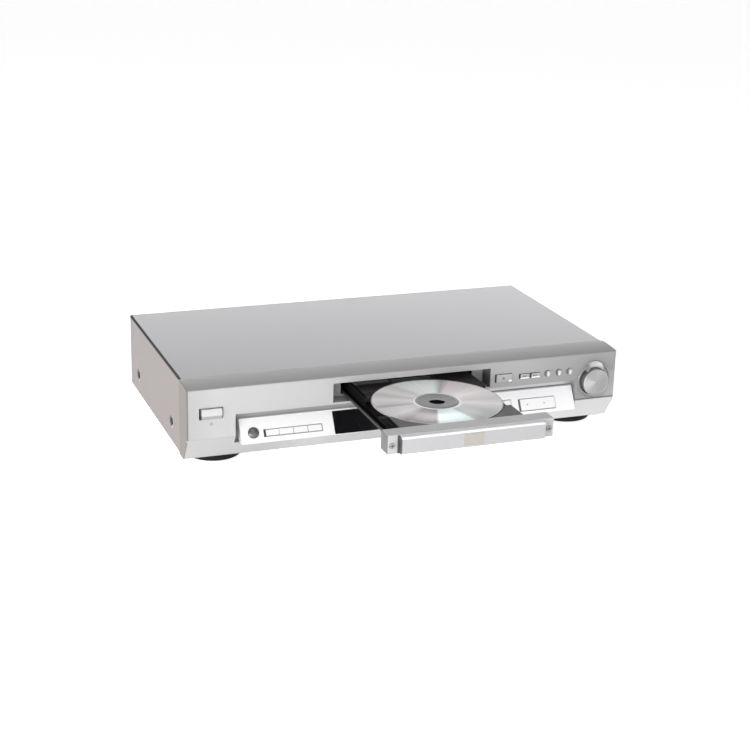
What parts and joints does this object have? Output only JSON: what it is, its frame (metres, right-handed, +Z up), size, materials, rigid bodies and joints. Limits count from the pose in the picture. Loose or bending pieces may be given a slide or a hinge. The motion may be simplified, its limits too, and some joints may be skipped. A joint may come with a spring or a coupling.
{
  "type": "disc player with sliding tray",
  "caption": "Full-width silver disc player, tray open with a disc on it, slanted key console under the drawer, round dial, loading gears and drive deck inside.",
  "frame": {"origin": "centre of the box around the whole set with its tray open, at the height of the feet's undersides", "axes": "+X is to the right as seen from the front, +Y points to the back, so the tray comes out towards -Y, and +Z is up"},
  "size_m": [0.43, 0.3928, 0.079],
  "materials": {
    "cover_paint": "satin silver-grey paint",
    "chassis_steel": "zinc-plated sheet",
    "panel_plastic": "silver paint on moulded plastic",
    "console_plastic": "bright silver",
    "window_plastic": "tinted, glossy",
    "key_plastic": "silver",
    "console_key_plastic": "bright silver",
    "dark_key_metal": "dark polished dome",
    "dial_metal": "spun, satin",
    "ring_metal": "polished ring",
    "foot_plastic": "black",
    "foot_rubber": "grey-black rubber",
    "dark_screws": "blackened",
    "bright_screws": "nickel-plated",
    "board_green": "lacquered circuit board",
    "board_brown": "paper circuit board",
    "tube_glass": "display tube",
    "component_plastic": "black",
    "transformer_steel": "varnished core and tape",
    "can_metal": "sleeved aluminium cans",
    "phono_brass": "gilt barrels in black housings",
    "loader_plastic": "black",
    "motor_steel": "plated can",
    "belt_rubber": "black",
    "cable_plastic": "flat cable",
    "pulley_brass": "turned",
    "gear_plastic": "natural acetal",
    "turntable_plastic": "dark grey",
    "sled_plastic": "dark grey",
    "lens_glass": "coated lens",
    "tray_plastic": "black",
    "bezel_plastic": "silver paint",
    "plate_metal": "bright satin",
    "plaque_paint": "plain cream",
    "disc_plastic": "metallised polycarbonate"
  },
  "bodies": {
    "cabinet": {"bottom_chassis": "chassis_steel", "top_cover": "cover_paint", "rear_panel": "chassis_steel", "front_panel": "panel_plastic", "control_panel": "console_plastic", "display_window": "window_plastic", "panel_board": "board_green", "display_tube": "tube_glass", "front_key_board": "board_green", "power_switch": "component_plastic", "feet": "foot_plastic", "foot_pads": "foot_rubber", "case_screws": "dark_screws", "main_board": "board_green", "power_board": "board_brown", "transformer": "transformer_steel", "capacitors": "can_metal", "mains_inlet": "component_plastic", "av_board": "board_green", "phono_sockets": "phono_brass", "signal_sockets": "component_plastic", "loader_frame": "loader_plastic", "clamp_bridge": "chassis_steel", "loading_motor": "motor_steel", "drive_belt": "belt_rubber", "ribbon_cable": "cable_plastic", "traverse_deck": "chassis_steel", "spindle_motor": "motor_steel", "guide_rods": "motor_steel", "feed_motor": "motor_steel"},
    "drawer": {"tray": "tray_plastic", "bezel": "bezel_plastic", "bezel_plate": "plate_metal", "bezel_screws": "bright_screws", "plaque": "plaque_paint"},
    "disc": {"disc": "disc_plastic"},
    "loading_gear": {"drive_gear": "gear_plastic"},
    "belt_pulley": {"pulley_gear": "gear_plastic"},
    "motor_shaft": {"motor_pulley": "pulley_brass"},
    "clamp_puck": {"clamper": "loader_plastic"},
    "disc_platter": {"turntable": "turntable_plastic"},
    "pickup": {"pickup_sled": "sled_plastic", "pickup_lens": "lens_glass"},
    "sled_gear": {"feed_gear": "gear_plastic"},
    "power_key": {"power_button": "key_plastic"},
    "open_close_key": {"open_close_button": "key_plastic"},
    "skip_back": {"skip_back_key": "key_plastic"},
    "skip_next": {"skip_next_key": "key_plastic"},
    "mode_key_a": {"mode_button_a": "key_plastic"},
    "mode_key_b": {"mode_button_b": "key_plastic"},
    "mode_key_c": {"mode_button_c": "key_plastic"},
    "round_key": {"round_button": "dark_key_metal"},
    "strip_a": {"strip_key_a": "console_key_plastic"},
    "strip_b": {"strip_key_b": "console_key_plastic"},
    "strip_c": {"strip_key_c": "console_key_plastic"},
    "strip_d": {"strip_key_d": "console_key_plastic"},
    "square": {"square_key": "console_key_plastic"},
    "rocker": {"rocker_key": "console_key_plastic"},
    "dial": {"jog_dial": "dial_metal"},
    "shuttle": {"shuttle_ring": "ring_metal"}
  },
  "joints": [
    {"name": "tray_slide", "type": "slide", "parent": "cabinet", "child": "drawer", "axis": [0, 1, 0], "range_m": [0, 0.137]},
    {"name": "disc_spin", "type": "hinge", "parent": "drawer", "child": "disc", "pos_m": [0.002, -0.10998, 0.0653], "axis": [0, 0, 1], "continuous": true},
    {"name": "loading_gear_spin", "type": "hinge", "parent": "cabinet", "child": "loading_gear", "pos_m": [0.033, -0.00997, 0.059], "axis": [0, 0, 1], "continuous": true},
    {"name": "belt_pulley_spin", "type": "hinge", "parent": "cabinet", "child": "belt_pulley", "pos_m": [0.006, -0.00997, 0.053], "axis": [0, 0, 1], "continuous": true},
    {"name": "motor_spin", "type": "hinge", "parent": "cabinet", "child": "motor_shaft", "pos_m": [-0.034, -0.00997, 0.05], "axis": [0, 0, 1], "continuous": true},
    {"name": "clamper_spin", "type": "hinge", "parent": "cabinet", "child": "clamp_puck", "pos_m": [0.002, 0.02703, 0.07], "axis": [0, 0, 1], "continuous": true},
    {"name": "turntable_spin", "type": "hinge", "parent": "cabinet", "child": "disc_platter", "pos_m": [0.002, 0.02703, 0.055], "axis": [0, 0, 1], "continuous": true},
    {"name": "pickup_slide", "type": "slide", "parent": "cabinet", "child": "pickup", "axis": [0, 1, 0], "range_m": [0, 0.035]},
    {"name": "sled_gear_spin", "type": "hinge", "parent": "cabinet", "child": "sled_gear", "pos_m": [0.041, 0.07602, 0.0495], "axis": [0, 0, 1], "continuous": true},
    {"name": "power_press", "type": "slide", "parent": "cabinet", "child": "power_key", "axis": [0, 1, 0], "range_m": [0, 0.002], "stiffness_N_per_m": 400, "springref_m": -0.001},
    {"name": "open_close_press", "type": "slide", "parent": "cabinet", "child": "open_close_key", "axis": [0, 1, 0], "range_m": [0, 0.0008], "stiffness_N_per_m": 400, "springref_m": -0.0008},
    {"name": "skip_back_press", "type": "slide", "parent": "cabinet", "child": "skip_back", "axis": [0, 1, 0], "range_m": [0, 0.0008], "stiffness_N_per_m": 400, "springref_m": -0.0008},
    {"name": "skip_next_press", "type": "slide", "parent": "cabinet", "child": "skip_next", "axis": [0, 1, 0], "range_m": [0, 0.0008], "stiffness_N_per_m": 400, "springref_m": -0.0008},
    {"name": "mode_press_a", "type": "slide", "parent": "cabinet", "child": "mode_key_a", "axis": [0, 1, 0], "range_m": [0, 0.0008], "stiffness_N_per_m": 400, "springref_m": -0.0008},
    {"name": "mode_press_b", "type": "slide", "parent": "cabinet", "child": "mode_key_b", "axis": [0, 1, 0], "range_m": [0, 0.0008], "stiffness_N_per_m": 400, "springref_m": -0.0008},
    {"name": "mode_press_c", "type": "slide", "parent": "cabinet", "child": "mode_key_c", "axis": [0, 1, 0], "range_m": [0, 0.0008], "stiffness_N_per_m": 400, "springref_m": -0.0008},
    {"name": "round_press", "type": "slide", "parent": "cabinet", "child": "round_key", "axis": [0, 0.8572, -0.515], "range_m": [0, 0.0008], "stiffness_N_per_m": 400, "springref_m": -0.0008},
    {"name": "strip_press_a", "type": "slide", "parent": "cabinet", "child": "strip_a", "axis": [0, 0.8572, -0.515], "range_m": [0, 0.0008], "stiffness_N_per_m": 400, "springref_m": -0.0008},
    {"name": "strip_press_b", "type": "slide", "parent": "cabinet", "child": "strip_b", "axis": [0, 0.8572, -0.515], "range_m": [0, 0.0008], "stiffness_N_per_m": 400, "springref_m": -0.0008},
    {"name": "strip_press_c", "type": "slide", "parent": "cabinet", "child": "strip_c", "axis": [0, 0.8572, -0.515], "range_m": [0, 0.0008], "stiffness_N_per_m": 400, "springref_m": -0.0008},
    {"name": "strip_press_d", "type": "slide", "parent": "cabinet", "child": "strip_d", "axis": [0, 0.8572, -0.515], "range_m": [0, 0.0008], "stiffness_N_per_m": 400, "springref_m": -0.0008},
    {"name": "square_press", "type": "slide", "parent": "cabinet", "child": "square", "axis": [0, 0.8572, -0.515], "range_m": [0, 0.0008], "stiffness_N_per_m": 400, "springref_m": -0.0008},
    {"name": "rocker_tilt", "type": "hinge", "parent": "cabinet", "child": "rocker", "pos_m": [0.1325, -0.04683, 0.02805], "axis": [0, 0.515, 0.8572], "range_deg": [-2, 2], "stiffness_Nm_per_rad": 0.4},
    {"name": "dial_spin", "type": "hinge", "parent": "cabinet", "child": "dial", "pos_m": [0.191, -0.05198, 0.0494], "axis": [0, 1, 0], "continuous": true},
    {"name": "shuttle_turn", "type": "hinge", "parent": "cabinet", "child": "shuttle", "pos_m": [0.191, -0.05198, 0.0494], "axis": [0, 1, 0], "range_deg": [-45, 45], "stiffness_Nm_per_rad": 0.02}
  ],
  "couplings": [
    {"joint": "loading_gear_spin", "follows": "tray_slide", "rad_per_m": 66.667},
    {"joint": "belt_pulley_spin", "follows": "tray_slide", "rad_per_m": -190.48},
    {"joint": "motor_spin", "follows": "tray_slide", "rad_per_m": -534.71},
    {"joint": "sled_gear_spin", "follows": "pickup_slide", "rad_per_m": -166.67}
  ]
}
